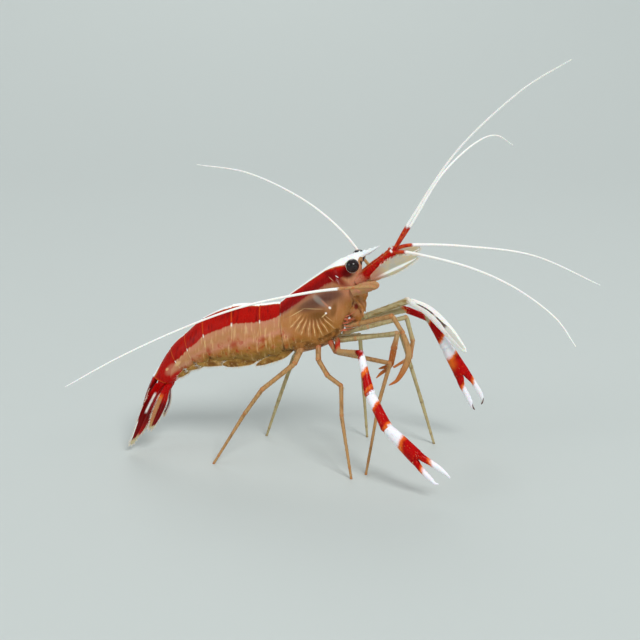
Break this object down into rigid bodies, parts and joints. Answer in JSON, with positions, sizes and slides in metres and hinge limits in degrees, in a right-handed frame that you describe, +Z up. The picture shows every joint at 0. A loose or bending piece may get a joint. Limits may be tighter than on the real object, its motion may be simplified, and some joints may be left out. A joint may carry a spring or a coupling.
{
  "type": "cleaner shrimp",
  "caption": "Still life-size cleaner shrimp standing on its walking legs, with a red and white back stripe, banded claws and long white feelers",
  "frame": {"origin": "on the floor, under the middle of the whole shrimp's box, feelers and feet included", "axes": "+X towards the head, +Y towards the shrimp's left side, +Z up"},
  "size_m": [0.0909, 0.0382, 0.0706],
  "materials": {
    "red_shell": "glossy",
    "amber_shell": "glossy",
    "leg_shell": "glossy",
    "claw_shell": "glossy",
    "white_feeler": "satin",
    "pale_scale": "glossy",
    "black_eye": "glossy"
  },
  "bodies": {
    "root": {"carapace": "red_shell", "abdomen_1": "red_shell", "abdomen_2": "red_shell", "abdomen_3": "red_shell", "abdomen_4": "red_shell", "abdomen_5": "red_shell", "abdomen_6": "red_shell", "telson": "red_shell", "uropod_inner_right": "red_shell", "uropod_outer_right": "red_shell", "uropod_inner_left": "red_shell", "uropod_outer_left": "red_shell", "eye_right": "black_eye", "eyestalk_right": "amber_shell", "antennule_stem_right": "red_shell", "antennal_scale_right": "pale_scale", "antenna_root_right": "leg_shell", "eye_left": "black_eye", "eyestalk_left": "amber_shell", "antennule_stem_left": "red_shell", "antennal_scale_left": "pale_scale", "antenna_root_left": "leg_shell", "mouthparts": "leg_shell", "antenna_right_base": "white_feeler", "antenna_right_tip": "white_feeler", "antenna_left_base": "white_feeler", "antenna_left_tip": "white_feeler", "antennule_outer_right_base": "white_feeler", "antennule_outer_right_tip": "white_feeler", "antennule_outer_left_base": "white_feeler", "antennule_outer_left_tip": "white_feeler", "antennule_inner_left_base": "white_feeler", "antennule_inner_left_tip": "white_feeler", "antennule_inner_right_base": "white_feeler", "antennule_inner_right_tip": "white_feeler", "maxilliped_right_upper": "leg_shell", "maxilliped_right_lower": "leg_shell", "maxilliped_left_upper": "leg_shell", "maxilliped_left_lower": "leg_shell", "claw_leg_right_upper": "claw_shell", "claw_leg_right_lower": "claw_shell", "claw_leg_left_upper": "claw_shell", "claw_leg_left_lower": "claw_shell", "second_leg_right_upper": "leg_shell", "second_leg_right_lower": "leg_shell", "second_leg_left_upper": "leg_shell", "second_leg_left_lower": "leg_shell", "third_leg_right_upper": "leg_shell", "third_leg_right_lower": "leg_shell", "third_leg_left_upper": "leg_shell", "third_leg_left_lower": "leg_shell", "fourth_leg_right_upper": "leg_shell", "fourth_leg_right_lower": "leg_shell", "fourth_leg_left_upper": "leg_shell", "fourth_leg_left_lower": "leg_shell", "fifth_leg_right_upper": "leg_shell", "fifth_leg_right_lower": "leg_shell", "fifth_leg_left_upper": "leg_shell", "fifth_leg_left_lower": "leg_shell"}
  },
  "joints": []
}
